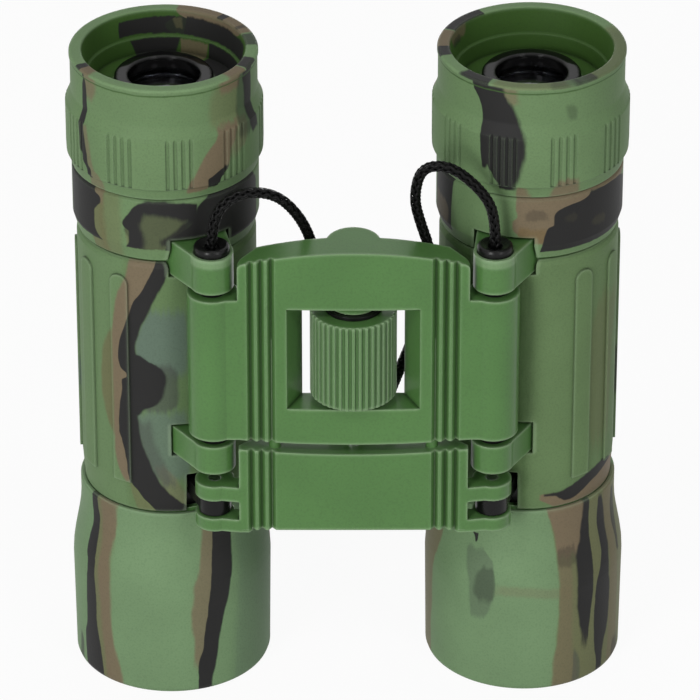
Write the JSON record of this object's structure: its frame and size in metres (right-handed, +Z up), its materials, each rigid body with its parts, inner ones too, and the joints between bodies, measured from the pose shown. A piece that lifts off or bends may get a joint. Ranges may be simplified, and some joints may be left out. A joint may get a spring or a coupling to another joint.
{
  "type": "compact folding binoculars",
  "caption": "Compact double-hinged roof-prism binoculars in camouflage rubber armour, with a centre focus wheel, sliding focus plate and neck cord.",
  "frame": {"origin": "floor level, at the middle of the width and depth of the standing binoculars without the cord", "axes": "+Z up the barrels to the eyecups, +X to the right and -Y towards the viewer as pictured, bridge on the -Y side"},
  "size_m": [0.0924, 0.0921, 0.1138],
  "materials": {
    "bridge_green": "satin dark green paint",
    "camo_rubber": "soft-touch rubber with woodland streaks",
    "black_plastic": "matt black",
    "black_gloss": "gloss black",
    "lens_glass": "coated optical glass",
    "steel": "plain steel",
    "brass": "turned brass",
    "cord": "black braided cord"
  },
  "bodies": {
    "bridge": {"bridge_frame": "bridge_green", "left_hinge_pin": "steel", "right_hinge_pin": "steel", "left_strap_cap": "black_plastic", "right_strap_cap": "black_plastic", "hinge_washers": "black_plastic", "thrust_washers": "black_plastic", "neck_cord_left": "cord", "neck_cord_right": "cord", "cord_coil": "cord", "coil_tie": "black_plastic"},
    "focus_wheel": {"focus_wheel": "bridge_green", "focus_nut": "brass"},
    "focus_plate": {"focus_plate": "bridge_green", "focus_screw": "steel", "guide_rods": "steel", "fork_pins": "steel"},
    "left_barrel": {"left_objective_hood": "camo_rubber", "left_armour": "camo_rubber", "left_rear_collar": "camo_rubber", "left_barrel_tube": "bridge_green", "left_prism_cage": "black_plastic", "left_half_prism": "lens_glass", "left_roof_prism": "lens_glass", "left_prism_clip": "steel", "left_field_stop": "black_plastic", "left_eyepiece_housing": "black_plastic", "left_eyepiece_tube": "black_plastic", "left_eyepiece_bezel": "black_gloss", "left_field_lens": "lens_glass", "left_lens_spacer": "black_plastic", "left_eye_lens": "lens_glass", "left_eyecup": "camo_rubber"},
    "right_barrel": {"right_objective_hood": "camo_rubber", "right_armour": "camo_rubber", "right_rear_collar": "camo_rubber", "right_barrel_tube": "bridge_green", "right_prism_cage": "black_plastic", "right_half_prism": "lens_glass", "right_roof_prism": "lens_glass", "right_prism_clip": "steel", "right_field_stop": "black_plastic", "right_eyepiece_housing": "black_plastic"},
    "left_objective": {"left_objective_carriage": "black_plastic", "left_objective_crown": "lens_glass", "left_objective_flint": "lens_glass", "left_objective_ring": "black_plastic"},
    "right_objective": {"right_objective_carriage": "black_plastic", "right_objective_crown": "lens_glass", "right_objective_flint": "lens_glass", "right_objective_ring": "black_plastic"},
    "right_eyecup": {"right_eyecup": "camo_rubber"},
    "right_eyepiece": {"right_eyepiece_tube": "black_plastic", "right_eyepiece_bezel": "black_gloss", "right_field_lens": "lens_glass", "right_lens_spacer": "black_plastic", "right_eye_lens": "lens_glass"}
  },
  "joints": [
    {"name": "left_hinge", "type": "hinge", "parent": "bridge", "child": "left_barrel", "pos_m": [-0.02188, -0.014, 0.065], "axis": [0, 0, 1], "range_deg": [-40.5, 16.5]},
    {"name": "right_hinge", "type": "hinge", "parent": "bridge", "child": "right_barrel", "pos_m": [0.02362, -0.014, 0.065], "axis": [0, 0, 1], "range_deg": [-22, 35]},
    {"name": "focus_turn", "type": "hinge", "parent": "bridge", "child": "focus_wheel", "pos_m": [0.00087, -0.014, 0.068], "axis": [0, 0, 1], "range_deg": [-270.5, 90.5]},
    {"name": "focus_travel", "type": "slide", "parent": "bridge", "child": "focus_plate", "axis": [0, 0, 1], "range_m": [-0.0024, 0.0008]},
    {"name": "left_objective_travel", "type": "slide", "parent": "left_barrel", "child": "left_objective", "axis": [0, 0, 1], "range_m": [-0.00241, 0.00081]},
    {"name": "right_objective_travel", "type": "slide", "parent": "right_barrel", "child": "right_objective", "axis": [0, 0, 1], "range_m": [-0.00241, 0.00081]},
    {"name": "diopter_turn", "type": "hinge", "parent": "right_barrel", "child": "right_eyecup", "pos_m": [0.02962, 0.00445, 0.1], "axis": [0, 0, 1], "range_deg": [-40, 40]},
    {"name": "diopter_travel", "type": "slide", "parent": "right_barrel", "child": "right_eyepiece", "axis": [0, 0, 1], "range_m": [-0.00061, 0.00061]}
  ],
  "couplings": [
    {"joint": "left_objective_travel", "follows": "focus_travel", "ratio": 1},
    {"joint": "right_objective_travel", "follows": "focus_travel", "ratio": 1},
    {"joint": "focus_turn", "follows": "focus_travel", "rad_per_m": 1963.5},
    {"joint": "diopter_travel", "follows": "diopter_turn", "m_per_rad": 0.00085944}
  ]
}
